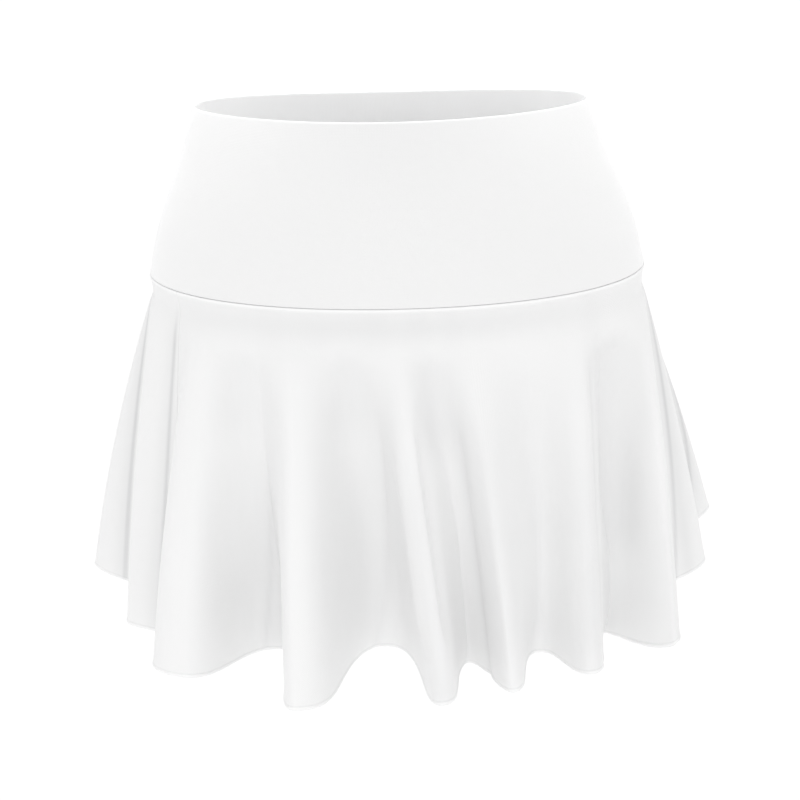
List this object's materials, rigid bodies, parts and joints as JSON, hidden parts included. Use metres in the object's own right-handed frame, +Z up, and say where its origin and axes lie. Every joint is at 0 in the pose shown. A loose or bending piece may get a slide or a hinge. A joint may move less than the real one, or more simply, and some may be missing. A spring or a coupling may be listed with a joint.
{
  "type": "tennis skort",
  "caption": "White tennis skort in its worn form: smooth wide hip yoke, flared circle-cut flounce in deep uneven folds, and plain inner shorts, open at the waist, legs and hem.",
  "frame": {"origin": "middle of the waist opening, at the level of its side edges, where the wearer's waist holds the garment", "axes": "+Z up through the waist opening; the front faces -Y; +X towards the wearer's left hand, the right of the picture"},
  "size_m": [0.469, 0.367, 0.3392],
  "materials": {
    "yoke_cloth": "smooth matt double-layer stretch knit, white",
    "flounce_cloth": "smooth matt fine knit with a faint sheen, white",
    "shorts_cloth": "matt stretch knit, white"
  },
  "bodies": {
    "root": {"yoke_front": "yoke_cloth", "yoke_back": "yoke_cloth", "flounce_front": "flounce_cloth", "flounce_back": "flounce_cloth", "shorts_left": "shorts_cloth", "shorts_right": "shorts_cloth"}
  },
  "joints": []
}
